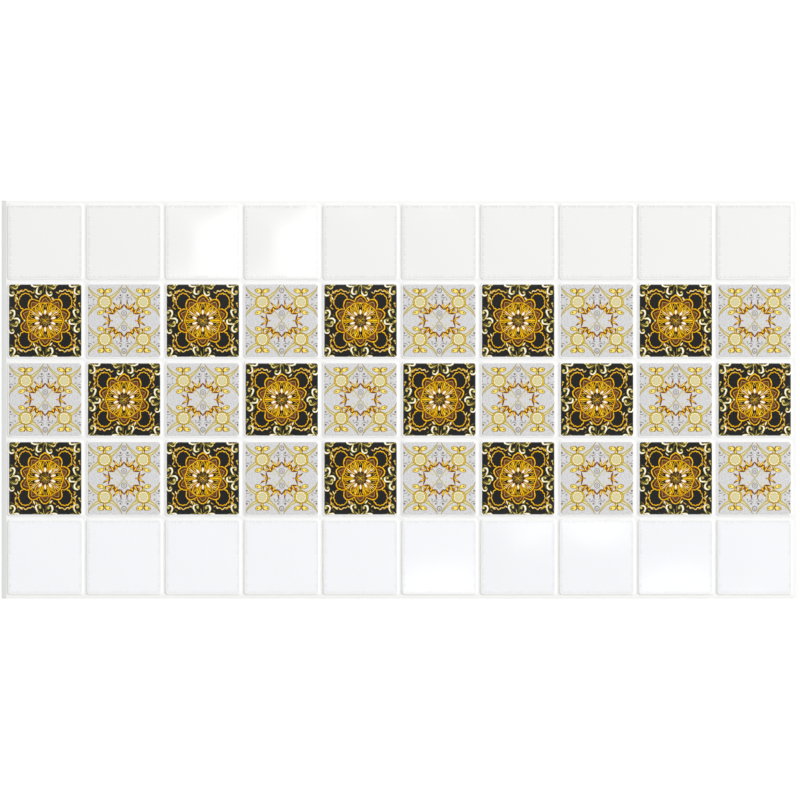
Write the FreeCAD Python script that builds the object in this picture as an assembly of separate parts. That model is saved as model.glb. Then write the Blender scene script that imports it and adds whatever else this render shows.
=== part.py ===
"""Formed wall panel with a tile relief: one thin sheet of hard PVC, lying face up.

The sheet is drawn over a mould, so its front and its back follow each other at one wall
thickness. Raised tile fields stand over a common floor of narrow grooves. Each field has
rounded corners, drafted sides and a face that is crowned a little. From behind every field is
an open, shallow pocket, and the grooves and the flat border make a lattice that is glued to
the wall. The border is also the lap for the next panel.

Frame: millimetres, X along the panel, Y up the wall, Z out of the wall, and the origin on the
bonding plane under the middle of the panel.
"""

import FreeCAD
import Part
import math
import os

from FreeCAD import Vector

# Sheet
panel_length = 960.0
panel_height = 480.0
sheet_thickness = 0.4

# Tile grid: the pitch from field to field, and the flat floor that is left between two fields
column_count = 10
row_count = 5
column_pitch = 95.0
row_pitch = 95.0
groove_floor = 2.6

# Section of one tile field, measured on the front from the groove floor up
side_run = 1.7
side_rise = 2.0
crown_rise = 0.7
corner_radius = 4.6

# The pocket's corners follow the front's corners as this many flats each
pocket_flat_count = 2

# A cutting body runs past what it cuts by this much
clear_of_cut = 2 * sheet_thickness


def corner_points(centre, radius, start, count):
    """Points on a quarter circle from the angle start, the first and the last included."""
    angles = [start + math.pi / 2 * i / (count - 1) for i in range(count)]
    return [centre + Vector(radius * math.cos(a), radius * math.sin(a), 0) for a in angles]


def rounded_outline(length, width, radius, z, flats=None):
    """A closed wire at height z: a rectangle about the Z axis with round corners. With flats,
    each corner is that many chords of its arc."""
    ring = []
    for turn, (side_x, side_y) in enumerate([(1, 1), (-1, 1), (-1, -1), (1, -1)]):
        centre = Vector(side_x * (length / 2 - radius), side_y * (width / 2 - radius), z)
        points = corner_points(centre, radius, turn * math.pi / 2, (flats or 2) + 1)
        if flats:
            corner = [Part.makeLine(a, b) for a, b in zip(points, points[1:])]
        else:
            corner = [Part.Arc(*points).toShape()]
        if ring:
            ring.append(Part.makeLine(ring[-1].lastVertex().Point, points[0]))
        ring.extend(corner)
    ring.append(Part.makeLine(ring[-1].lastVertex().Point, ring[0].firstVertex().Point))
    return Part.Wire(ring)


def drafted_body(length, width, radius, slope, bottom, top, flats=None):
    """A solid with leaning sides. It has the given outline at height 0, and its sides move in
    by slope for each millimetre of height."""
    outlines = []
    for z in (bottom, top):
        inset = slope * z
        outline = rounded_outline(length - 2 * inset, width - 2 * inset, radius - inset, z, flats)
        outlines.append(outline)
    return Part.makeLoft(outlines, True, True)


def crowned_block(length, width, z, depth):
    """A block with a crowned top, level at height z round a length by width face and
    crown_rise higher in its middle. It reaches past the sides, and depth below z."""
    surface = Part.BezierSurface()
    surface.increase(2, 2)
    reach = [1 + 2 * (side_run + clear_of_cut) / side for side in (length, width)]
    # The three poles of a parabola that is 1 in the middle, 0 at 1 and runs out to the reach
    arches = [(1 - r**2, 1 + r**2, 1 - r**2) for r in reach]
    for i in range(3):
        for j in range(3):
            x = (i - 1) * reach[0] * length / 2
            y = (j - 1) * reach[1] * width / 2
            rise = crown_rise * arches[0][i] * arches[1][j]
            surface.setPole(i + 1, j + 1, Vector(x, y, z + rise))
    return surface.toShape().extrude(Vector(0, 0, -depth))


def tile_body(offset, bottom, flats=None):
    """One tile field as a solid about the Z axis, from the height bottom up. An offset of the
    sheet's thickness, measured square to the faces, turns the front into the pocket."""
    slope = side_run / side_rise
    side_shift = offset * math.hypot(1, slope)
    # The front's outline where its sides would meet the bonding plane
    foot = slope * sheet_thickness - side_shift
    length = column_pitch - groove_floor + 2 * foot
    width = row_pitch - groove_floor + 2 * foot
    radius = corner_radius + foot
    face_z = sheet_thickness + side_rise
    top = face_z + crown_rise - offset
    sides = drafted_body(length, width, radius, slope, bottom, top + clear_of_cut, flats)
    face_length = column_pitch - groove_floor - 2 * side_run
    face_width = row_pitch - groove_floor - 2 * side_run
    depth = face_z - offset - bottom + clear_of_cut
    return sides.common(crowned_block(face_length, face_width, face_z - offset, depth))


def grid_places():
    """The middle of every tile field on the bonding plane."""
    return [
        Vector(
            (i - (column_count - 1) / 2) * column_pitch,
            (j - (row_count - 1) / 2) * row_pitch,
            0,
        )
        for j in range(row_count)
        for i in range(column_count)
    ]


def copies(shape):
    """The shape at every place of the grid."""
    return [shape.translated(place) for place in grid_places()]


def formed_sheet():
    """The whole panel as one solid."""
    front = tile_body(0.0, sheet_thickness)
    pocket = tile_body(sheet_thickness, -clear_of_cut, pocket_flat_count)
    corner = Vector(-panel_length / 2, -panel_height / 2, 0)
    flat_sheet = Part.makeBox(panel_length, panel_height, sheet_thickness, corner)
    return flat_sheet.fuse(copies(front)).cut(copies(pocket)).removeSplitter()


os.makedirs("parts", exist_ok=True)
panel = formed_sheet().Solids
print(len(panel), "solid, valid:", panel[0].isValid(), "faces:", len(panel[0].Faces))
print("volume in mm3:", round(panel[0].Volume))
panel[0].exportStep("parts/tile_relief_sheet.step")
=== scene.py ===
"""Dresses the textured wall panel: the formed sheet with its soft edges, the printed film on
the fields of its three middle rows, and a plain pale studio around it."""

import math

import bpy
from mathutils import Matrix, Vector


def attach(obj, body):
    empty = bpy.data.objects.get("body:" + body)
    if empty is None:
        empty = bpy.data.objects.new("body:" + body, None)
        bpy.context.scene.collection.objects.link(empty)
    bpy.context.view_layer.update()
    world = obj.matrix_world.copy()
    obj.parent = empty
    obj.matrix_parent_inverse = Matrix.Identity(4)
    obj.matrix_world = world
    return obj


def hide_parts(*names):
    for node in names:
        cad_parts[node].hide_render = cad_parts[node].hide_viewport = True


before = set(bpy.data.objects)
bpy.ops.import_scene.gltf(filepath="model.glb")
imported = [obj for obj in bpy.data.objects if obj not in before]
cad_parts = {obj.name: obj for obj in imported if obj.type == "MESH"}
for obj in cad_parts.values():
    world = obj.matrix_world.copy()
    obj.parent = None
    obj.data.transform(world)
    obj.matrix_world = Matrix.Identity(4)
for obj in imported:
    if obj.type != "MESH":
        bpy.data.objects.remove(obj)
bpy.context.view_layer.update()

# The panel, in millimetres, as the solids have it
mm = 0.001
columns, rows = 10, 5
pitch = 95.0
panel_length, panel_height = 960.0, 480.0
sheet_thickness = 0.4
side_run, side_rise = 1.7, 2.0
field_half, field_radius = 46.2, 4.6
face_half = field_half - side_run

# The crown is a little lower than the solids' 0.7, so that the film stays inside their box
crown_rise = 0.66
print_half, print_radius = 43.6, 2.6
film_proud, film_sunk = 0.03, 0.02

# At its foot the back stands further in, which keeps the wall's thickness square to the sides
back_shift = 0.185

# The panel's own edge is rounded by the first, through a point that is in and down by the second
edge_round, edge_between = 0.12, 0.035

# The strip at the left end is painted a greyer tone as painted shade: where that starts and is full
edge_shade_from, edge_shade_full = -474.0, -475.4

# The mesh: segments on a corner and on a side of each outline
corner_steps, side_steps = 6, 10

# The rings of a field: how far in from its foot, and then as shares of the last of those
front_insets = (-0.37, -0.15, 0.12, 0.38, 0.85, 1.32, 1.55, 1.75, 1.95, 2.1, 2.6)
front_shares = (0.965, 0.9, 0.8, 0.66, 0.5, 0.33, 0.16)
back_insets = (-0.37, 0.0, 0.38, 1.32, 1.7, 2.1)
back_shares = (0.9, 0.66, 0.33)
film_shares = (1.0, 0.97, 0.9, 0.8, 0.66, 0.5, 0.33, 0.16)


# Shapes


def column_middle(i):
    return (i - (columns - 1) / 2) * pitch


def row_middle(j):
    return (j - (rows - 1) / 2) * pitch


def round_square(straight, half, corner):
    """Points round a square, counter-clockwise from its right side: those of the corner and
    of the straight side after it, four times."""
    side = [(straight - 2 * straight * step / side_steps, half) for step in range(1, side_steps)]
    points = []
    for turn in range(4):
        angle = turn * math.pi / 2
        cos, sin = round(math.cos(angle)), round(math.sin(angle))
        points += [(x * cos - y * sin, x * sin + y * cos) for x, y in corner + side]
    return points


def outline(half, radius):
    """Points round a square with round corners."""
    straight = half - radius
    bends = [math.pi / 2 * step / corner_steps for step in range(corner_steps + 1)]
    corner = [(straight + radius * math.cos(b), straight + radius * math.sin(b)) for b in bends]
    return round_square(straight, half, corner)


def cell_outline():
    """The same count of points on the square cell that one field takes up."""
    straight, half = field_half - field_radius, pitch / 2
    half_way = corner_steps // 2
    rise = [straight + (half - straight) * step / half_way for step in range(half_way + 1)]
    corner = [(half, y) for y in rise] + [(x, half) for x in reversed(rise[:-1])]
    return round_square(straight, half, corner)


def soft_step(inset, softness=0.22):
    """The drafted side as a share of its height, with a soft foot and a soft shoulder."""
    t = inset / side_run
    if t <= -softness:
        return 0.0
    if t < softness:
        return (t + softness) ** 2 / (4 * softness)
    if t <= 1 - softness:
        return t
    if t < 1 + softness:
        return 1 - (1 - t + softness) ** 2 / (4 * softness)
    return 1.0


def crown(x, y):
    """How far the crowned face stands above its edge."""
    return crown_rise * max(0.0, 1 - (x / face_half) ** 2) * max(0.0, 1 - (y / face_half) ** 2)


def put_in_scene(name, data):
    holder = bpy.data.objects.new(name, data)
    bpy.context.scene.collection.objects.link(holder)
    return holder


class Sheet:
    """A mesh in millimetres that shares the points that fall on each other."""

    def __init__(self):
        self.places = {}
        self.points = []
        self.faces = []
        self.looks = []

    def point(self, x, y, z):
        key = tuple(round(value * 1000) for value in (x, y, z))
        if key not in self.places:
            self.places[key] = len(self.points)
            self.points.append((x * mm, y * mm, z * mm))
        return self.places[key]

    def strip(self, first, second, look, turned=False):
        """Four-sided faces between two closed rings of points."""
        for i in range(len(first)):
            j = (i + 1) % len(first)
            face = [first[i], first[j], second[j], second[i]]
            self.face(face, look, turned)

    def cap(self, ring, middle, look, turned=False):
        """Three-sided faces from a closed ring to a point in its middle."""
        for i in range(len(ring)):
            self.face([ring[i], ring[(i + 1) % len(ring)], middle], look, turned)

    def face(self, corners, look, turned):
        self.faces.append(corners[::-1] if turned else corners)
        self.looks.append(look)

    def finished(self, name, looks):
        mesh = bpy.data.meshes.new(name)
        mesh.from_pydata(self.points, [], self.faces)
        for look in looks:
            mesh.materials.append(look)
        mesh.polygons.foreach_set("material_index", self.looks)
        mesh.polygons.foreach_set("use_smooth", [True] * len(self.faces))
        mesh.update()
        return put_in_scene(name, mesh)


def field_rings(base, shift, insets, shares):
    """The rings of one field from its cell inwards, over a floor at the height base, and the
    height of its middle."""
    rings = [[(x, y, base) for x, y in cell_outline()]]
    for inset in insets:
        half, radius = field_half - shift - inset, field_radius - inset
        height = base + side_rise * soft_step(inset)
        last = outline(half, radius)
        rings.append([(x, y, height + crown(x, y)) for x, y in last])
    top = base + side_rise
    for share in shares:
        inner = [(x * share, y * share) for x, y in last]
        rings.append([(x, y, top + crown(x, y)) for x, y in inner])
    return rings, top + crown(0, 0)


def field_middles():
    for j in range(rows):
        for i in range(columns):
            yield i, j, column_middle(i), row_middle(j)


def formed_sheet(looks):
    """The whole sheet as one closed skin: front, rounded edge and back with its pockets."""
    sheet = Sheet()
    white, blank, back = range(3)
    front_rings, front_top = field_rings(sheet_thickness, 0.0, front_insets, front_shares)
    back_rings, back_top = field_rings(0.0, back_shift, back_insets, back_shares)
    for i, j, middle_x, middle_y in field_middles():
        face = blank if j in (0, rows - 1) else white
        front = (front_rings, front_top, white, face, False)
        behind = (back_rings, back_top, back, back, True)
        for rings, top, side_look, face_look, turned in (front, behind):
            laid = [
                [sheet.point(x + middle_x, y + middle_y, z) for x, y, z in ring] for ring in rings
            ]
            for k, (outer, inner) in enumerate(zip(laid, laid[1:])):
                # The face starts at the last ring that is measured from the foot
                look = face_look if k >= len(front_insets) else side_look
                sheet.strip(outer, inner, look, turned)
            middle = sheet.point(middle_x, middle_y, top)
            sheet.cap(laid[-1], middle, face_look, turned)

    # The points round all the cells together, which the border is joined to
    side = sorted({round(x, 6) for x, y in cell_outline()})
    along = [x + column_middle(i) for i in range(columns) for x in side[:-1]]
    up = [y + row_middle(j) for j in range(rows) for y in side[:-1]]
    right, top = columns * pitch / 2, rows * pitch / 2
    loop = [(right, y) for y in up] + [(-x, top) for x in along]
    loop += [(-right, -y) for y in up] + [(x, -top) for x in along]
    almost = 0.999

    def cells_edge(z):
        return [sheet.point(x, y, z) for x, y in loop]

    def panel_edge(inset, z):
        """The panel's outline, drawn in by inset, at height z."""
        far_x, far_y = panel_length / 2 - inset, panel_height / 2 - inset
        ring = []
        for x, y in loop:
            x = math.copysign(far_x, x) if abs(x) > right * almost else x
            y = math.copysign(far_y, y) if abs(y) > top * almost else y
            ring.append(sheet.point(x, y, z))
        return ring

    rings = [
        cells_edge(sheet_thickness),
        panel_edge(edge_round, sheet_thickness),
        panel_edge(edge_between, sheet_thickness - edge_between),
        panel_edge(0.0, sheet_thickness - edge_round),
        panel_edge(0.0, 0.0),
        cells_edge(0.0),
    ]
    for look, inner, outer in zip([white] * 4 + [back], rings, rings[1:]):
        sheet.strip(outer, inner, look)
    return sheet.finished("formed_sheet", looks)


def printed_film(name, j, looks):
    """The print of one row of fields: a thin closed film on each crowned face."""
    film = Sheet()
    owners = []
    print_edge = outline(print_half, print_radius)
    dark, pale = 0, 1
    for i, row, middle_x, middle_y in field_middles():
        if row != j:
            continue
        look = dark if (i + j) % 2 else pale
        sides = []
        owner = (i, middle_x, middle_y)
        for lift in (film_proud, -film_sunk):
            height = sheet_thickness + side_rise + lift
            laid = [
                [
                    film.point(x * s + middle_x, y * s + middle_y, height + crown(x * s, y * s))
                    for x, y in print_edge
                ]
                for s in film_shares
            ]
            middle = film.point(middle_x, middle_y, height + crown(0, 0))
            turned = lift < 0
            for outer, inner in zip(laid, laid[1:]):
                film.strip(outer, inner, look, turned)
            film.cap(laid[-1], middle, look, turned)
            sides.append(laid[0])
            owners += [("under" if turned else "front", *owner)] * (len(film.faces) - len(owners))
        film.strip(sides[1], sides[0], look)
        owners += [("wall", *owner)] * (len(film.faces) - len(owners))
    piece = film.finished(name, looks)
    lay_out_map(piece.data, owners)
    return piece


def lay_out_map(mesh, owners):
    """The map that the print is baked on: every front has a large square of its own with its
    wall as a rim round it, and the undersides are small squares in the strip above."""
    layer = mesh.uv_layers.new(name="OFBake")
    # Sides as shares of the map's own: a front, an underside and the middle of the strip
    front_side, under_side, strip_middle = 0.235, 0.085, 0.86
    fronts_across, wall_reach = 4, 1.02
    large, small = front_side / (2 * print_half), under_side / (2 * print_half)
    for face, (kind, i, middle_x, middle_y) in zip(mesh.polygons, owners):
        lowest = min(mesh.vertices[corner].co.z for corner in face.vertices)
        for loop, corner in zip(face.loop_indices, face.vertices):
            spot = mesh.vertices[corner].co
            x, y = spot.x / mm - middle_x, spot.y / mm - middle_y
            if kind == "under":
                place = ((i + 0.5) / columns + x * small, strip_middle + y * small)
            else:
                scale = large * wall_reach if kind == "wall" and spot.z == lowest else large
                cell_x, cell_y = i % fronts_across + 0.5, i // fronts_across + 0.5
                place = (cell_x / fronts_across + x * scale, cell_y / fronts_across + y * scale)
            layer.data[loop].uv = place


# Colours that vary over a surface, written as plain sums


def paint(red, green, blue):
    """A colour as a screen shows it, from 0 to 255, made into the light it stands for."""
    def light(value):
        value /= 255
        return value / 12.92 if value <= 0.04045 else ((value + 0.055) / 1.055) ** 2.4
    return (light(red), light(green), light(blue), 1.0)


class Number:
    """A number that varies over a surface: what one socket of a node gives out."""

    def __init__(self, tree, socket):
        self.tree = tree
        self.socket = socket

    def __add__(self, other):
        return maths(self.tree, "ADD", self, other)

    def __radd__(self, other):
        return maths(self.tree, "ADD", other, self)

    def __sub__(self, other):
        return maths(self.tree, "SUBTRACT", self, other)

    def __rsub__(self, other):
        return maths(self.tree, "SUBTRACT", other, self)

    def __mul__(self, other):
        return maths(self.tree, "MULTIPLY", self, other)

    def __truediv__(self, other):
        return maths(self.tree, "DIVIDE", self, other)

    def __abs__(self):
        return maths(self.tree, "ABSOLUTE", self)


def feed(tree, sockets, terms):
    for socket, term in zip(sockets, terms):
        if isinstance(term, Number):
            tree.links.new(term.socket, socket)
        elif term is not None:
            socket.default_value = term


def node(tree, kind, terms=(), output=0, **settings):
    """Adds a node with its settings, feeds its inputs in order and gives one output."""
    new = tree.nodes.new(kind)
    for name, value in settings.items():
        setattr(new, name, value)
    feed(tree, new.inputs, terms)
    return Number(tree, new.outputs[output])


def maths(tree, operation, *terms):
    return node(tree, "ShaderNodeMath", terms, operation=operation)


def vector(tree, operation, *terms):
    gives_number = operation in ("DISTANCE", "DOT_PRODUCT", "LENGTH")
    output = "Value" if gives_number else "Vector"
    return node(tree, "ShaderNodeVectorMath", terms, output, operation=operation)


def lower(first, second):
    return maths(first.tree, "MINIMUM", first, second)


def higher(first, second):
    return maths(first.tree, "MAXIMUM", first, second)


def spot_at(x, y, z=0.0):
    return node(x.tree, "ShaderNodeCombineXYZ", (x, y, z))


def line(value, centre, half_width, crest=1.0):
    """The height of a line drawn where the value is at the centre."""
    return crest - abs(value - centre) * (1 / half_width)


def smooth(value, start, end, low=0.0, high=1.0):
    """From low to high as the value goes from start to end, without a corner."""
    terms = (value, start, end, low, high)
    return node(value.tree, "ShaderNodeMapRange", terms, interpolation_type="SMOOTHSTEP")


def blend(tree, share, first, second):
    """The first colour where the share is 0, the second where it is 1."""
    new = tree.nodes.new("ShaderNodeMix")
    new.data_type = "RGBA"
    feed(tree, (new.inputs[0], new.inputs[6], new.inputs[7]), (share, first, second))
    return Number(tree, new.outputs[2])


def noise(tree, spot, scale, detail=2.0, rough=0.5):
    """Soft noise from 0 to 1; scale is in bumps for each unit of the spot."""
    new = tree.nodes.new("ShaderNodeTexNoise")
    values = {"Scale": scale, "Detail": detail, "Roughness": rough}
    for name, value in values.items():
        new.inputs[name].default_value = value
    tree.links.new(spot.socket, new.inputs["Vector"])
    return Number(tree, new.outputs[0])


def make_group(name, draw, inputs, outputs):
    """A shader node group: draw gets its inputs by name and gives back its outputs by name.
    Both are listed by their kind of socket."""
    tree = bpy.data.node_groups.new(name, "ShaderNodeTree")
    for in_out, sockets in (("INPUT", inputs), ("OUTPUT", outputs)):
        for kind, labels in sockets.items():
            for label in labels:
                socket_type = "NodeSocket" + kind
                tree.interface.new_socket(name=label, in_out=in_out, socket_type=socket_type)
    entry = tree.nodes.new("NodeGroupInput")
    leave = tree.nodes.new("NodeGroupOutput")
    labels = [label for group in inputs.values() for label in group]
    given = {label: Number(tree, entry.outputs[label]) for label in labels}
    for label, value in draw(tree, given).items():
        tree.links.new(value.socket, leave.inputs[label])
    return tree


def use(tree, group, output, **values):
    """Places a group with its own values and gives back the outputs that are named."""
    new = tree.nodes.new("ShaderNodeGroup")
    new.node_tree = group
    for label, value in values.items():
        feed(tree, [new.inputs[label.replace("_", " ")]], [value])
    if isinstance(output, str):
        return Number(tree, new.outputs[output])
    return [Number(tree, new.outputs[name]) for name in output]


# The groups that draw. Their lengths are millimetres on one field, and a stroke's height is 0
# outside it and 1 on its crest


def draw_field_spot(tree, given):
    """How far a spot is from its field's middle and from the panel's, which lies between two
    columns and in the middle of a row."""
    place = node(tree, "ShaderNodeTexCoord", output="Object")
    split = tree.nodes.new("ShaderNodeSeparateXYZ")
    tree.links.new(place.socket, split.inputs[0])
    x, y = (Number(tree, split.outputs[k]) * (1 / mm) for k in (0, 1))
    half = pitch / 2
    across = maths(tree, "WRAP", x + half, half, -half)
    up = maths(tree, "WRAP", y, half, -half)
    return {"Across": across, "Up": up, "Panel Across": x, "Panel Up": y}


field_spot = make_group(
    "Field Spot", draw_field_spot, {}, {"Float": ["Across", "Up", "Panel Across", "Panel Up"]}
)


def draw_crescent(tree, given):
    spot = given["Spot"]
    outside = vector(tree, "DISTANCE", spot, given["Outer Middle"])
    inside = vector(tree, "DISTANCE", spot, given["Inner Middle"])
    reached = vector(tree, "DISTANCE", spot, given["Reach Middle"])
    body = lower(given["Outer Radius"] - outside, inside - given["Inner Radius"])
    body = lower(body, given["Reach"] - reached)
    return {"Height": maths(tree, "MAXIMUM", body / given["Half Width"], 0.0)}


crescent_stroke = make_group(
    "Crescent Stroke",
    draw_crescent,
    {
        "Vector": ["Spot", "Outer Middle", "Inner Middle", "Reach Middle"],
        "Float": ["Outer Radius", "Inner Radius", "Reach", "Half Width"],
    },
    {"Float": ["Height"]},
)


def draw_leaf(tree, given):
    first = vector(tree, "DISTANCE", given["Spot"], given["First Middle"])
    second = vector(tree, "DISTANCE", given["Spot"], given["Second Middle"])
    body = given["Radius"] - higher(first, second)
    return {"Height": maths(tree, "MAXIMUM", body / given["Half Width"], 0.0)}


leaf_stroke = make_group(
    "Leaf Stroke",
    draw_leaf,
    {"Vector": ["Spot", "First Middle", "Second Middle"], "Float": ["Radius", "Half Width"]},
    {"Float": ["Height"]},
)


def draw_ring(tree, given):
    away = vector(tree, "DISTANCE", given["Spot"], given["Middle"])
    body = given["Half Width"] - abs(away - given["Radius"])
    return {"Height": maths(tree, "MAXIMUM", body / given["Half Width"], 0.0)}


ring_stroke = make_group(
    "Ring Stroke",
    draw_ring,
    {"Vector": ["Spot", "Middle"], "Float": ["Radius", "Half Width"]},
    {"Float": ["Height"]},
)


def draw_oval(tree, given):
    away = vector(tree, "SUBTRACT", given["Spot"], given["Middle"])
    along = vector(tree, "DOT_PRODUCT", away, given["Along"])
    across = vector(tree, "DOT_PRODUCT", away, given["Across"])
    flat_away = spot_at(along, across)
    body = 1.0 - vector(tree, "LENGTH", flat_away)
    return {"Height": maths(tree, "MAXIMUM", body * given["Steepness"], 0.0)}


oval_stroke = make_group(
    "Oval Stroke",
    draw_oval,
    {"Vector": ["Spot", "Middle", "Along", "Across"], "Float": ["Steepness"]},
    {"Float": ["Height"]},
)


def draw_ink(tree, given):
    """The edge's tone shows first, then the body's, and the light only near the crest."""
    height = given["Height"]
    colour = blend(tree, smooth(height, 0.02, 0.16), given["Ground"], given["Edge"])
    colour = blend(tree, smooth(height, 0.12, 0.5), colour, given["Body"])
    colour = blend(tree, smooth(height, 0.5, 0.95), colour, given["Light"])
    return {"Color": colour}


shaded_ink = make_group(
    "Shaded Ink",
    draw_ink,
    {"Float": ["Height"], "Color": ["Ground", "Edge", "Body", "Light"]},
    {"Color": ["Color"]},
)


def object_place(tree):
    """A spot's place on the panel in millimetres."""
    place = vector(tree, "SCALE", node(tree, "ShaderNodeTexCoord", output="Object"))
    place.socket.node.inputs["Scale"].default_value = 1 / mm
    return place


def draw_finish(tree, given):
    """A slow ripple 50 mm long, a fine grain, and a gloss that varies over 20 mm."""
    place = object_place(tree)
    ripple = noise(tree, place, 0.02, 1.0)
    grain = noise(tree, place, 0.6, 2.0)
    height = ripple * given["Ripple"] + grain * given["Grain"]
    gloss = given["Gloss"] + (noise(tree, place, 0.05, 3.0) - 0.5) * given["Uneven"]
    return {"Height": height, "Roughness": gloss}


sheet_finish = make_group(
    "Formed Surface",
    draw_finish,
    {"Float": ["Gloss", "Uneven", "Ripple", "Grain"]},
    {"Float": ["Height", "Roughness"]},
)


# Strokes, each from a few points on one field


def circle_through(first, second, third):
    """The middle and the radius of the circle through three points."""
    (ax, ay), (bx, by), (cx, cy) = first, second, third
    twice = 2 * (ax * (by - cy) + bx * (cy - ay) + cx * (ay - by))
    a, b, c = (x * x + y * y for x, y in (first, second, third))
    x = (a * (by - cy) + b * (cy - ay) + c * (ay - by)) / twice
    y = (a * (cx - bx) + b * (ax - cx) + c * (bx - ax)) / twice
    return (x, y), math.dist((x, y), first)


def flat(point):
    return (point[0], point[1], 0.0)


def bowed_between(spot, outer, inner, reach, half_width):
    """What lies in the outer circle and outside the inner one, each a middle and a radius."""
    return use(
        spot.tree, crescent_stroke, "Height", Spot=spot,
        Outer_Middle=flat(outer[0]),
        Outer_Radius=outer[1],
        Inner_Middle=flat(inner[0]),
        Inner_Radius=inner[1],
        Reach_Middle=flat(reach[0]),
        Reach=reach[1],
        Half_Width=half_width,
    )


def taper(spot, start, middle, end, width, light=1.0):
    """A bowed stroke through three points, widest at its start and nothing at its end. Here
    and below, light is how high a crest gets, and so which tones show."""
    heart, radius = circle_through(start, middle, end)

    def moved(point, share):
        reach = width * share / radius
        return tuple(p + (p - h) * reach for p, h in zip(point, heart))

    # How much of the width lies on each side of the start, the middle and the end
    shares = (0.5, 0.38, 0.04)
    points = (start, middle, end)
    outer = circle_through(*(moved(p, s) for p, s in zip(points, shares)))
    inner = circle_through(*(moved(p, -s) for p, s in zip(points, shares)))
    between = tuple((a + b) / 2 for a, b in zip(start, end))
    reach = math.dist(start, end) / 2 + width / 4
    return bowed_between(spot, outer, inner, (between, reach), width / 2 / light)


def blade(spot, start, end, width, light=1.0):
    """A leaf with a point at both ends."""
    half_length, half_width = math.dist(start, end) / 2, width / 2
    radius = (half_length ** 2 + half_width ** 2) / (2 * half_width)
    middle = [(a + b) / 2 for a, b in zip(start, end)]
    away = (radius - half_width) / (2 * half_length)
    across = ((start[1] - end[1]) * away, (end[0] - start[0]) * away)
    return use(
        spot.tree, leaf_stroke, "Height", Spot=spot,
        First_Middle=(middle[0] + across[0], middle[1] + across[1], 0.0),
        Second_Middle=(middle[0] - across[0], middle[1] - across[1], 0.0),
        Radius=radius,
        Half_Width=half_width / light,
    )


def blades(spot, strokes, light=1.0):
    return [blade(spot, *stroke, light) for stroke in strokes]


def hoop(spot, middle, radius, half_width, light=1.0):
    """A round line."""
    size = {"Radius": radius, "Half_Width": half_width}
    new = use(spot.tree, ring_stroke, "Height", Spot=spot, Middle=flat(middle), **size)
    return new if light == 1.0 else new * light


def dot(spot, middle, radius, light=1.0):
    return hoop(spot, middle, 0.0, radius, light)


def egg(spot, middle, half_length, half_width, turn=0.0, light=1.0):
    """An oval spot, its long way turned by so many degrees from level."""
    cos, sin = math.cos(math.radians(turn)), math.sin(math.radians(turn))
    return use(
        spot.tree, oval_stroke, "Height", Spot=spot,
        Middle=flat(middle),
        Along=(cos / half_length, sin / half_length, 0.0),
        Across=(-sin / half_width, cos / half_width, 0.0),
        Steepness=light,
    )


def tallest(heights):
    top = heights[0]
    for height in heights[1:]:
        top = higher(top, height)
    return top


class Place:
    """Where a motif of unit size goes on the field."""

    def __init__(self, x, y, size, turn, flip=False):
        self.x, self.y, self.size = x, y, size
        self.cos, self.sin = math.cos(math.radians(turn)), math.sin(math.radians(turn))
        self.flip = -1 if flip else 1

    def at(self, x, y):
        x *= self.flip
        return (
            self.x + self.size * (x * self.cos - y * self.sin),
            self.y + self.size * (x * self.sin + y * self.cos),
        )


def curl(spot, place, light=1.0):
    """A scroll: a hooked crescent with a bulb in it and a tail that thins out. Its points and
    radii are for a hook with a radius of 1."""
    size = place.size
    middle = place.at(0, 0)
    hook = bowed_between(
        spot,
        (middle, size),
        (place.at(0.3, 0.24), 0.64 * size),
        (middle, 2 * size),
        0.27 * size / light,
    )
    bulb = dot(spot, place.at(0.52, 0.04), 0.52 * size, 0.8 * light)
    ends = place.at(-0.68, -0.1), place.at(-0.46, 0.95), place.at(0.5, 2.1)
    return tallest([hook, bulb, taper(spot, *ends, 0.72 * size, 1.4 * light)])


def wavered(spot, across, up, reach):
    """Moves lines a little off true, by up to half the reach."""
    return (
        across + (noise(spot.tree, spot, 0.2, 1.0) - 0.5) * reach,
        up + (noise(spot.tree, spot, 0.23, 1.0) - 0.5) * reach,
    )


def inked(colour, height, edge, body, light):
    """Lays ink of three tones over a colour where the stroke's height is above nothing."""
    edge, body, light = (
        tone if isinstance(tone, Number) else paint(*tone) for tone in (edge, body, light)
    )
    tones = {"Edge": edge, "Body": body, "Light": light}
    return use(height.tree, shaded_ink, "Color", Ground=colour, Height=height, **tones)


# The inks: the tones of a stroke's edge, its body and its crest. The brown is an edge alone,
# for the golds that vary from place to place
deep_brown = (122, 60, 6)
cream_gold = ((88, 80, 24), (220, 198, 96), (255, 255, 252))
thread_gold = ((74, 66, 28), (128, 114, 50), (206, 186, 100))
amber = ((120, 66, 4), (222, 160, 8), (252, 214, 50))
olive = ((70, 52, 18), (150, 124, 52), (212, 190, 116))
ivory = ((170, 110, 30), (248, 240, 206), (255, 255, 255))
twig = ((58, 26, 2), (112, 56, 2), (182, 104, 6))
wreath_gold = ((192, 116, 2), (238, 176, 4), (255, 226, 84))
straw = ((116, 82, 8), (216, 184, 56), (252, 232, 124))
ring_gold = ((92, 62, 4), (178, 136, 4), (230, 200, 46))
reed = ((146, 128, 60), (208, 194, 122), (238, 230, 182))
faint_gold = ((214, 206, 160), (216, 202, 122), (228, 208, 116))
pencil = ((190, 186, 180), (132, 124, 116), (78, 66, 56))
umber = ((176, 132, 50), (118, 78, 18), (92, 56, 12))
pearl = ((212, 194, 118), (246, 240, 206), (255, 252, 236))


# Materials

# How strongly the clear top of a printed film bends light
film_ior = 1.48


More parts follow.
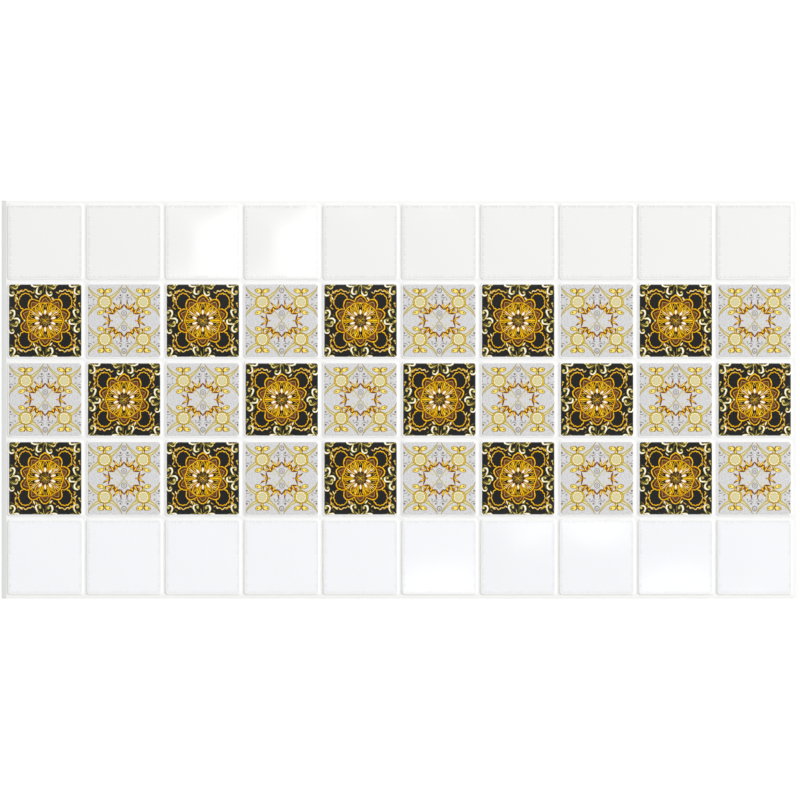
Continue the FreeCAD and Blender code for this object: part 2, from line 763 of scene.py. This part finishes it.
def new_material(name):
    look = bpy.data.materials.new(name)
    look.use_nodes = True
    tree = look.node_tree
    tree.nodes.clear()
    shader = tree.nodes.new("ShaderNodeBsdfPrincipled")
    out = tree.nodes.new("ShaderNodeOutputMaterial")
    tree.links.new(shader.outputs[0], out.inputs["Surface"])
    shader.inputs["IOR"].default_value = film_ior
    return look, tree, shader


def finish_surface(tree, shader, colour, tilt=0.0, **values):
    """Joins the colour and the sheet's own gloss and ripple to the shader. The tilt is how
    much lower a spot lies because its field isn't level."""
    tree.links.new(colour.socket, shader.inputs["Base Color"])
    height, gloss = use(tree, sheet_finish, ("Height", "Roughness"), **values)
    height = height - tilt
    bump = tree.nodes.new("ShaderNodeBump")
    bump.inputs["Distance"].default_value = mm
    tree.links.new(height.socket, bump.inputs["Height"])
    tree.links.new(bump.outputs[0], shader.inputs["Normal"])
    tree.links.new(gloss.socket, shader.inputs["Roughness"])


def white_sheet():
    look, tree, shader = new_material("white_sheet")
    cloud = noise(tree, object_place(tree), 0.03, 3.0)
    colour = blend(tree, cloud, paint(242, 242, 241), paint(246, 246, 245))
    # Painted shade: the border at the left end is painted greyer
    painted_edge_shade = smooth(use(tree, field_spot, "Panel Across"), edge_shade_from, edge_shade_full)
    colour = blend(tree, painted_edge_shade, colour, paint(222, 223, 220))
    finish_surface(tree, shader, colour, Gloss=0.24, Uneven=0.08, Ripple=0.2, Grain=0.01)
    return look


def sheet_back():
    look, tree, shader = new_material("sheet_back")
    cloud = noise(tree, object_place(tree), 0.04, 4.0)
    colour = blend(tree, cloud, paint(228, 229, 228), paint(240, 240, 238))
    finish_surface(tree, shader, colour, Gloss=0.48, Uneven=0.15, Ripple=0.2, Grain=0.04)
    return look


def field_tilts(tree, across, up, panel_across, panel_up):
    """A few plain fields of the thin sheet don't lie quite level, and these mirror a window.
    For each: its column, its row, and its slope across and up."""
    tilts = [
        (2, 4, 0.0005, 0.0821),
        (3, 4, -0.0203, 0.0821),
        (5, 0, 0.0500, -0.0300),
        (6, 0, -0.0090, -0.0820),
        (7, 0, 0.0130, -0.0830),
        (8, 0, -0.0070, -0.0300),
    ]
    total = 0.0
    for i, j, slope_across, slope_up in tilts:
        from_x = abs(panel_across - column_middle(i))
        from_y = abs(panel_up - row_middle(j))
        here = maths(tree, "LESS_THAN", higher(from_x, from_y), pitch / 2)
        total = total + (across * slope_across + up * slope_up) * here
    return total


def blank_field():
    """The plain fields: pale grey, with a fringe of short strokes square to the edges."""
    look, tree, shader = new_material("blank_field")
    across, up, panel_across, panel_up = use(
        tree, field_spot, ("Across", "Up", "Panel Across", "Panel Up")
    )
    across_from, up_from = abs(across), abs(up)
    is_side = maths(tree, "GREATER_THAN", across_from, up_from)
    along = up * is_side + across * (1.0 - is_side)
    to_edge = print_half - higher(across_from, up_from)
    # The strokes differ from side to side and from field to field, and are 0.5 to 5 mm long
    strokes = spot_at(along, is_side * 37.0, panel_up * 0.02)
    length = smooth(noise(tree, strokes, 0.8, 1.0), 0.35, 0.65, 0.5, 5.0)
    fringe = smooth(to_edge / length, 1.0, 0.2)
    speck = noise(tree, object_place(tree), 0.5, 3.0)
    # Painted light and shade: bottom row paler and bluer, top row greyer and warmer with a stronger
    # fringe
    painted_light_and_speck = blend(tree, smooth(panel_up, -190.0, 190.0), paint(247, 248, 251), paint(243, 243, 242))
    painted_light_and_speck = blend(tree, speck * 0.2, painted_light_and_speck, paint(234, 235, 235))
    strength = smooth(panel_up, -100.0, 100.0, 0.34, 0.5)
    colour = blend(tree, fringe * strength, painted_light_and_speck, paint(216, 219, 217))
    tilt = field_tilts(tree, across, up, panel_across, panel_up)
    finish_surface(tree, shader, colour, tilt, Gloss=0.1, Uneven=0.05, Ripple=0.12, Grain=0.004)
    return look


def dark_field():
    """Near-black ground with cream scrolls, gold hoops and a rosette of ten petals."""
    look, tree, shader = new_material("dark_field")
    across, up, panel_up = use(tree, field_spot, ("Across", "Up", "Panel Up"))
    # The middle row has this print turned over, left for right
    turned_over = maths(tree, "LESS_THAN", abs(panel_up), pitch / 2)
    across = across * (1.0 - turned_over * 2.0)
    spot = spot_at(across, up)
    speck = noise(tree, spot, 1.4, 2.0)
    colour = blend(tree, smooth(speck, 0.35, 0.75), paint(27, 29, 30), paint(56, 55, 52))
    across, up = wavered(spot, across, up, 1.8)
    spot = spot_at(across, up)

    # Here and there the gold is deeper, and here and there its crests turn to cream
    glint = smooth(noise(tree, spot, 0.36, 1.0), 0.54, 0.66)
    depth = smooth(noise(tree, spot, 0.3, 1.0), 0.38, 0.56)
    gold_body = blend(tree, depth, paint(166, 98, 2), paint(230, 164, 0))
    gold_crest = blend(tree, glint, paint(255, 214, 16), paint(255, 242, 128))
    leaf_body = blend(tree, glint, paint(206, 158, 40), paint(242, 226, 156))
    cream_crest = blend(tree, glint, paint(252, 220, 90), paint(255, 253, 232))
    gold = (deep_brown, gold_body, gold_crest)
    leaf_gold = (deep_brown, leaf_body, cream_crest)

    # Scrolls round a knot at the left edge, which come again at this distance across and up
    knot_x, knot_y = -46.4, 1.3
    repeat_x, repeat_y = 45.6, 45.3
    cell_x = maths(tree, "WRAP", across - knot_x, repeat_x / 2, -repeat_x / 2)
    cell_y = maths(tree, "WRAP", up - knot_y, repeat_y / 2, -repeat_y / 2)
    cell = spot_at(cell_x, cell_y)
    stems = [(-5.6, -5.6), (5.4, 2.6), (-6.0, 3.4), (7.2, -0.8), (-7.4, -3.2), (3.8, -9.8)]
    scrolls = [blade(cell, (0.0, 0.0), end, 1.8, 0.7) for end in stems]
    scrolls += [
        blade(cell, (0.4, 2.0), (-0.6, -9.0), 1.2, 0.5),
        blade(cell, (-2.6, 9.6), (0.6, -2.0), 1.4, 0.5),
    ]
    threads = [
        ((0.0, -1.0), (9.4, -11.4), 1.9),
        ((0.0, 1.0), (10.6, 6.0), 1.8),
        ((-0.6, 1.2), (-10.8, 5.8), 1.8),
        ((-0.6, -1.0), (-10.4, -8.6), 1.9),
        ((1.4, 2.0), (2.2, 12.8), 1.7),
        ((-1.8, -2.0), (-1.4, -15.0), 1.7),
        ((4.4, -2.6), (13.4, -8.4), 1.5),
        ((-4.6, 1.0), (-14.4, 1.8), 1.5),
        ((-14.0, -7.4), (-9.4, -15.8), 1.8),
        ((9.8, 12.4), (3.4, 15.4), 1.6),
        ((-10.8, 13.4), (-4.6, 14.4), 1.6),
        ((16.6, 3.4), (12.0, 6.6), 1.5),
    ]
    colour = inked(colour, tallest(blades(cell, threads, 0.62)), *thread_gold)
    curls = [
        Place(-6.8, -11.8, 4.2, 0),
        Place(6.0, -14.0, 3.7, 40),
        Place(6.9, 8.2, 4.2, 175),
        Place(-7.7, 9.2, 4.2, 185, True),
        Place(12.8, -1.5, 4.0, 70, True),
        Place(-13.0, -2.7, 4.0, -105, True),
    ]
    scrolls += [curl(cell, place) for place in curls]
    scrolls += [curl(cell, Place(10.8, -6.0, 3.2, 82), 0.62), dot(cell, (-3.8, 19.6), 2.0, 0.7)]
    colour = inked(colour, tallest(scrolls), *cream_gold)
    leaves = [
        ((-11.5, -16.5), (-7.0, -19.2), 1.9),
        ((8.6, -17.6), (13.2, -22.4), 1.9),
        ((9.3, 15.3), (14.6, 11.8), 2.0),
        ((-12.0, 16.4), (-6.8, 11.6), 2.2),
        ((-12.4, 21.6), (-7.2, 16.6), 2.0),
        ((-4.2, 18.6), (-1.4, 14.6), 1.5),
        ((15.2, 18.6), (12.4, 21.8), 1.6),
        ((-14.6, 12.8), (-11.8, 17.0), 1.4),
    ]
    sprigs = blades(cell, leaves, 0.85)

    # Scalloped hoops round the four openings, each with a short wavy band on its outer side
    opening_x, opening_y, squeeze = 23.6, 22.8, 1.17
    from_x = (abs(across) - opening_x) * squeeze
    from_y = abs(up) - opening_y
    opening = spot_at(from_x, from_y)
    tufts = [
        ((15.6, -7.0), (12.4, -1.2), 2.0),
        ((12.6, -2.0), (15.6, 4.8), 2.4),
        ((11.6, 2.2), (16.4, 0.6), 1.5),
        ((15.2, 3.4), (12.4, 10.6), 2.4),
        ((11.2, 6.6), (16.0, 9.4), 1.6),
        ((13.4, 8.8), (7.2, 13.6), 2.4),
        ((9.0, 9.0), (12.8, 14.2), 1.5),
        ((9.4, 12.6), (3.6, 14.6), 1.8),
        ((-8.0, 9.6), (-13.2, 12.4), 1.8),
    ]
    sprigs += blades(opening, tufts)
    away = vector(tree, "LENGTH", opening)
    angle = maths(tree, "ARCTAN2", from_x, from_y)
    scallops, hoop_radius, wave_count, wave_radius = 13.0, 9.9, 12.0, 13.9
    scallop = maths(tree, "COSINE", angle * scallops) * 0.35 + hoop_radius
    wave = maths(tree, "COSINE", angle * wave_count) * 0.7 + wave_radius
    hoops = line(away, scallop, 0.85)
    waves = line(away, wave, 0.9, 1.05) * smooth(abs(angle), 0.62, 0.78, 1.0, 0.0)
    colour = inked(colour, tallest(sprigs), *leaf_gold)
    colour = inked(colour, waves, *leaf_gold)
    colour = inked(colour, hoops, *gold)
    touches = [
        ((7.0, 28.8), (11.4, 23.2), 2.3),
        ((10.6, 25.4), (15.4, 19.8), 2.1),
        ((14.4, 25.6), (20.0, 20.6), 2.1),
        ((-20.8, -18.0), (-17.8, -24.2), 2.3),
        ((-14.8, -25.6), (-12.0, -32.6), 2.1),
        ((-36.2, 29.6), (-31.8, 24.0), 2.4),
        ((-33.8, -14.4), (-31.2, -20.4), 2.1),
        ((34.4, -25.0), (38.8, -19.8), 2.0),
        ((32.8, 27.4), (37.6, 31.0), 2.0),
        ((4.4, -30.8), (9.4, -26.0), 2.1),
        ((-8.6, 26.8), (-12.8, 31.6), 2.0),
    ]
    colour = inked(colour, tallest(blades(spot, touches, 1.1)), *cream_gold)

    # The rosette is folded into half a petal: along its axis and away from it
    petals = 10
    half_turn = 180.0 / petals
    away = vector(tree, "LENGTH", spot)
    bearing = maths(tree, "DEGREES", maths(tree, "ARCTAN2", across, up))
    off_axis = abs(maths(tree, "WRAP", bearing, half_turn, -half_turn))
    bend = maths(tree, "RADIANS", off_axis)
    along, aside = away * maths(tree, "COSINE", bend), away * maths(tree, "SINE", bend)
    petal = spot_at(along, aside)
    # About 1 on the diagonals and 0 straight across and up
    diagonal = abs(across * up) * 2.0 / (away * away + 1.0)

    # Streaks run outwards, and break up the lines and the golds
    streak = noise(tree, spot_at(bearing * 0.27, away * 0.1), 1.0)
    share = off_axis * (1 / half_turn)
    petal_tip, petal_notch = 30.6, 6.8
    rim = petal_tip - maths(tree, "POWER", share, 1.7) * petal_notch
    inside = smooth(away - rim, 0.2, -0.2)
    fill = blend(tree, smooth(away, 21.5, 28.0), paint(126, 76, 38), paint(84, 42, 26))
    colour = blend(tree, inside, colour, fill)
    away = away + (streak - 0.5) * 0.8
    # An olive arch in each petal, then the petals' own gold outline
    arch = 27.2 - maths(tree, "POWER", off_axis * (1 / 12.0), 1.2) * 5.2
    colour = inked(colour, line(away, arch, 0.9, 0.9), *olive)
    colour = inked(colour, line(away, rim, 1.05, 1.05), *gold)

    # The heart inside the petals: rays between drops, a white tip in each and a gold collar
    heart_edge, disc_edge = 21.4, 7.0
    colour = blend(tree, smooth(away, heart_edge, 21.0), colour, paint(62, 36, 10))
    middle_ray = line(off_axis, half_turn, 3.1, 1.15)
    side_ray = line(off_axis, 12.2, 1.7)
    rays = higher(middle_ray, side_ray) * smooth(away, disc_edge, 10.0)
    rays = rays * smooth(streak, 0.32, 0.62, 0.3, 1.5)
    paler = smooth(diagonal, 0.72, 0.95) * smooth(away, 20.0, 16.0)
    ray_crest = blend(tree, paler, gold_crest, paint(255, 250, 222))
    rays = rays * smooth(away, heart_edge, 20.2)
    colour = inked(colour, rays, deep_brown, gold_body, ray_crest)
    drop = blade(petal, (6.6, 0.0), (21.8, 0.0), 6.4)
    gold_well = blend(tree, smooth(streak, 0.4, 0.6), paint(126, 72, 8), paint(252, 206, 60))
    dark_well = blend(tree, smooth(along, 11.6, 13.2), gold_well, paint(32, 24, 18))
    well = blend(tree, smooth(diagonal, 0.62, 0.98), dark_well, gold_well)
    colour = blend(tree, smooth(drop, 0.14, 0.26), colour, well)
    colour = inked(colour, line(drop, 0.18, 0.16), *amber)
    colour = inked(colour, blade(petal, (14.8, 0.0), (19.4, 0.0), 2.2, 0.8), *olive)
    colour = inked(colour, line(away, 21.1 + share * 0.8, 0.9), *gold)
    colour = inked(colour, blade(petal, (6.4, 0.0), (14.2, 0.0), 3.9), *ivory)

    # The rosette's middle: a beaded disc, and the small knots left and right of the rosette
    beads = tree.nodes.new("ShaderNodeTexVoronoi")
    beads.inputs["Scale"].default_value = 0.75
    tree.links.new(spot.socket, beads.inputs["Vector"])
    bead = smooth(Number(tree, beads.outputs["Distance"]), 0.55, 0.1)
    disc = blend(tree, bead, paint(84, 66, 30), paint(184, 160, 92))
    cross = higher(blade(spot, (-6, -4.6), (6, 4.6), 0.9), blade(spot, (-6, 4.6), (6, -4.6), 0.9))
    disc = inked(disc, cross, *amber)
    disc = blend(tree, smooth(away, 6.0, 6.8), disc, paint(52, 38, 18))
    colour = blend(tree, smooth(away, disc_edge, 6.7), colour, disc)
    knots = spot_at(abs(across), up)
    colour = inked(colour, dot(knots, (24.9, 0.0), 1.9), *cream_gold)
    finish_surface(tree, shader, colour, Gloss=0.14, Uneven=0.06, Ripple=0.4, Grain=0.004)
    return look


def pale_field():
    """Pale ground with four roundels, bowed bands that cross and a wreath of twigs."""
    look, tree, shader = new_material("pale_field")
    across, up = use(tree, field_spot, ("Across", "Up"))
    even_spot = spot_at(across, up)
    across, up = wavered(even_spot, across, up, 1.2)
    quarter = spot_at(abs(across), abs(up))
    speck = noise(tree, even_spot, 0.55, 3.0, 0.7)
    colour = blend(tree, smooth(speck, 0.32, 0.62), paint(200, 199, 198), paint(224, 223, 225))

    # Small grey figures
    figures = [
        hoop(quarter, (0.0, 36.6), 2.7, 0.8, 0.6),
        hoop(quarter, (0.0, 8.8), 3.1, 0.7, 0.5),
        hoop(quarter, (0.0, 8.6), 1.2, 0.6, 0.5),
    ]
    dots = [
        ((4.3, 30.6), 1.5, 1.1),
        ((42.0, 30.6), 1.5, 1.1),
        ((42.0, 15.0), 1.5, 1.1),
        ((8.9, 25.6), 1.1, 0.7),
        ((36.4, 26.0), 1.2, 0.7),
        ((36.4, 19.6), 1.2, 0.6),
        ((0.0, 37.0), 1.3, 0.7),
    ]
    hooks = [
        ((42.8, 21.4), (39.6, 23.0), (42.8, 25.0), 1.2, 0.7),
        ((11.8, 27.6), (13.8, 25.4), (12.4, 23.2), 1.2, 0.5),
        ((5.2, 26.0), (2.4, 25.0), (0.6, 27.4), 1.2, 0.6),
        ((2.6, 5.6), (3.6, 3.6), (2.4, 1.8), 1.0, 0.5),
        ((2.2, 28.6), (7.3, 28.2), (8.4, 32.4), 1.2, 0.8),
        ((8.4, 26.4), (10.2, 24.6), (11.6, 27.0), 1.4, 0.5),
        ((42.6, 27.8), (38.9, 28.6), (38.3, 32.8), 1.2, 0.8),
        ((42.6, 18.2), (38.9, 17.4), (38.3, 13.2), 1.2, 0.8),
        ((37.8, 25.6), (36.0, 27.4), (34.6, 25.2), 1.2, 0.4),
        ((37.8, 20.2), (36.0, 18.4), (34.6, 20.6), 1.2, 0.4),
        ((3.6, 12.6), (2.0, 14.2), (0.0, 13.4), 1.0, 0.35),
    ]
    figures += [dot(quarter, *figure) for figure in dots]
    figures += [taper(quarter, *figure) for figure in hooks]
    colour = inked(colour, tallest(figures), *pencil)
    tints = [dot(quarter, (8.2, 4.9), 1.7, 0.3), dot(quarter, (9.6, 9.4), 1.4, 0.25)]
    colour = inked(colour, tallest(tints), *faint_gold)
    # A faint yellow round the bands
    haze = [
        taper(quarter, (26.4, 26.6), (37.4, 32.8), (45.2, 44.2), 9.0, 0.5),
        taper(quarter, (18.8, 26.0), (8.6, 33.6), (0.8, 45.6), 9.0, 0.5),
        taper(quarter, (27.6, 19.6), (37.8, 13.2), (45.4, 0.6), 9.0, 0.5),
        hoop(quarter, (17.0, 15.0), 0.0, 13.0, 0.5),
    ]
    colour = blend(tree, tallest(haze) * 1.15, colour, paint(228, 210, 134))
    bands = [
        blade(quarter, (-2.4, -3.0), (10.2, 13.9), 1.5, 0.8),
        taper(quarter, (27.4, 27.6), (37.4, 32.8), (44.2, 43.2), 4.2),
        taper(quarter, (18.4, 27.0), (8.6, 33.6), (1.6, 44.6), 4.2),
        taper(quarter, (28.6, 18.8), (37.8, 13.2), (44.4, 1.6), 4.2),
    ]
    colour = inked(colour, tallest(bands), *reed)

    # The wreath: leaves in pairs on a bent twig through these points
    pairs = [
        ((4.9, 12.6), (3.6, 24.4), 2.8),
        ((4.6, 12.8), (12.8, 21.6), 2.9),
        ((10.8, 7.4), (18.6, 16.4), 3.1),
        ((12.4, 7.8), (23.0, 10.8), 3.0),
        ((16.6, 0.2), (25.4, 5.4), 2.6),
    ]
    leaves = blades(quarter, pairs, 1.1) + [
        blade(quarter, (20.6, 0.0), (12.6, 0.0), 2.1, 0.9),
        dot(quarter, (10.2, 13.8), 2.2, 1.1),
        dot(quarter, (14.4, 12.0), 2.0, 0.9),
        dot(quarter, (17.2, 13.4), 1.9, 0.9),
        blade(quarter, (7.6, 14.6), (10.6, 9.8), 2.2, 1.0),
    ]
    leaf_height = tallest(leaves)
    colour = inked(colour, leaf_height * 1.2, *twig)
    colour = inked(colour, leaf_height * 1.4 - 0.3, *wreath_gold)
    joints = [(-0.8, 20.6), (4.8, 13.2), (11.6, 16.4), (11.6, 8.2), (19.4, 8.6), (16.6, -1.2)]
    twigs = [(start, end, 2.1) for start, end in zip(joints, joints[1:])]
    twigs += [
        ((11.0, 18.6), (13.6, 22.6), 1.7),
        ((14.2, 10.2), (19.4, 17.4), 1.6),
        ((20.6, 3.2), (26.2, 6.2), 1.6),
        ((4.2, 19.4), (3.4, 25.4), 1.5),
    ]
    colour = inked(colour, tallest(blades(quarter, twigs)), *twig)

    # The roundels, with two lobes outwards and a single one inwards
    roundel_x, roundel_y = 23.3, 22.5
    beside = abs(across) - roundel_x
    above = abs(up) - roundel_y
    both = spot_at(abs(beside), above)
    one = spot_at(beside, above)
    lobes = [
        egg(both, (4.5, 13.4), 4.7, 3.0, 14.0, 1.9),
        taper(both, (0.3, 7.0), (0.8, 10.6), (5.0, 13.0), 3.6),
        egg(one, (4.8, -12.7), 4.5, 2.9, -14.0, 1.9),
        taper(one, (0.0, -7.0), (0.4, -10.4), (4.4, -12.4), 3.4),
    ]
    colour = inked(colour, tallest(lobes), *straw)
    eyes = [
        dot(both, (6.0, 13.6), 1.1, 0.5),
        dot(one, (6.0, -12.8), 1.1, 0.5),
        blade(one, (2.0, 8.4), (0.4, 14.0), 1.8, 1.0),
        blade(one, (0.4, 12.6), (2.8, 16.8), 1.6, 0.9),
        blade(one, (-2.6, 16.4), (0.4, 12.6), 1.4, 0.8),
        blade(one, (-1.7, -8.4), (-0.6, -14.0), 1.8, 1.0),
    ]
    colour = inked(colour, tallest(eyes), *umber)
    away = vector(tree, "LENGTH", one)
    bearing = maths(tree, "ARCTAN2", beside, above)
    spokes = maths(tree, "COSINE", bearing * 8.0) * 0.5 + 0.5
    colour = blend(tree, smooth(away, 7.8, 7.4), colour, paint(224, 223, 220))
    colour = inked(colour, line(away, 3.4, 1.9, 1.2) * spokes, *faint_gold)
    colour = inked(colour, dot(one, (0.0, 0.0), 1.6, 0.3), *faint_gold)
    beading = maths(tree, "COSINE", bearing * 10.0) * 0.25 + 0.7
    colour = inked(colour, line(away, 5.7, 1.0) * beading, *pearl)
    # The band is stouter to its left and right
    stout = smooth(abs(beside), 3.6, 6.6, 0.9, 1.35)
    twist = maths(tree, "COSINE", bearing * 18.0) * 0.2 + 0.95
    colour = inked(colour, line(away, 7.5, 1.0, stout) * twist, *ring_gold)
    finish_surface(tree, shader, colour, Gloss=0.14, Uneven=0.06, Ripple=0.4, Grain=0.004)
    return look


# The object

white, blank, back = white_sheet(), blank_field(), sheet_back()
sheet = formed_sheet([white, blank, back])
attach(sheet, "root")
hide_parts("tile_relief_sheet")

prints = [dark_field(), pale_field()]
for j, name in ((1, "lower"), (2, "middle"), (3, "upper")):
    film = printed_film(f"printed_film_{name}_row", j, prints)
    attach(film, "root")


# The studio


def background_rays(tree):
    """1 for what the camera sees directly, in a gloss or through glass, and 0 for the rest."""
    rays = tree.nodes.new("ShaderNodeLightPath").outputs
    kinds = ("Is Camera Ray", "Is Glossy Ray", "Is Transmission Ray")
    return tallest([Number(tree, rays[kind]) for kind in kinds])


def matte(name, scale, darker, lighter):
    """A studio surface that is clouded between two greys."""
    look, tree, shader = new_material(name)
    place = node(tree, "ShaderNodeTexCoord", output="Object")
    greys = [paint(grey, grey, grey) for grey in (darker, lighter)]
    colour = blend(tree, noise(tree, place, scale), *greys)
    tree.links.new(colour.socket, shader.inputs["Base Color"])
    shader.inputs["Roughness"].default_value = 0.9
    return look, tree, shader


def pale_floor():
    """A floor of nearly white colour, with a faint glow of its own where the camera sees it."""
    look, tree, shader = matte("pale_floor", 3.0, 253, 255)
    glow = 0.1
    shader.inputs["Specular IOR Level"].default_value = 0.0
    shader.inputs["Emission Color"].default_value = (1, 1, 1, 1)
    tree.links.new((background_rays(tree) * glow).socket, shader.inputs["Emission Strength"])
    return look


def level_rectangle(name, half_x, half_y, height, look):
    mesh = bpy.data.meshes.new(name)
    signs = ((-1, -1), (1, -1), (1, 1), (-1, 1))
    corners = [(half_x * x, half_y * y, height) for x, y in signs]
    mesh.from_pydata(corners, [], [(0, 1, 2, 3)])
    mesh.materials.append(look)
    put_in_scene(name, mesh)


# The floor lies just under the panel. The dark cloth is over the camera, where it keeps the
# gloss of the level fields from mirroring the room
level_rectangle("floor", 30.0, 30.0, -0.0002, pale_floor())
level_rectangle("flag_overhead", 1.75, 2.1, 6.2, matte("dark_cloth", 4.0, 30, 38)[0])

world = bpy.data.worlds.new("pale_room")
bpy.context.scene.world = world
world.use_nodes = True
tree = world.node_tree
tree.nodes.clear()
# The room lights the panel less brightly than it shows itself, which is white
room_light = 0.75
seen = background_rays(tree)
strength = seen * (1.0 - room_light) + room_light
sky = tree.nodes.new("ShaderNodeBackground")
sky.inputs["Color"].default_value = (1, 1, 1, 1)
tree.links.new(strength.socket, sky.inputs["Strength"])
tree.links.new(sky.outputs[0], tree.nodes.new("ShaderNodeOutputWorld").inputs["Surface"])


def soft_lamp(name, place, size, radiance, aim=(0, 0, 0)):
    """A rectangular lamp that shows at the given brightness, where 1 is white."""
    lamp = bpy.data.lights.new(name, "AREA")
    lamp.shape = "RECTANGLE"
    lamp.size, lamp.size_y = size
    lamp.energy = radiance * math.pi * size[0] * size[1]
    holder = put_in_scene(name, lamp)
    holder.location = place
    way = [a - b for a, b in zip(aim, place)]
    holder.rotation_euler = Vector(way).to_track_quat("-Z", "Y").to_euler()


# One window lights the panel from the right. The two over it are what the tilted fields mirror
soft_lamp("window_right", (13.5, 6.0, 13.2), (7.8, 7.8), 10.5)
soft_lamp("window_behind", (-0.19, 1.36, 6.0), (0.98, 0.8), 4.5, (-0.19, 1.36, 0.0))
soft_lamp("window_front", (0.75, -1.135, 6.0), (1.1, 0.43), 2.6, (0.75, -1.135, 0.0))

# The camera stands square over the tile faces, a hair off the panel's middle as in the
# photograph, and frame_width is how wide its picture is there
camera_height = 4.0
frame_width = 0.9642
sensor_width = 36.0
face_height = (sheet_thickness + side_rise) * mm
lens = bpy.data.cameras.new("camera")
lens.sensor_width = sensor_width
lens.lens = sensor_width * camera_height / frame_width
camera = put_in_scene("camera", lens)
camera.location = (0.0001, -0.0006, camera_height + face_height)
bpy.context.scene.camera = camera

bpy.context.scene.view_settings.view_transform = "Standard"
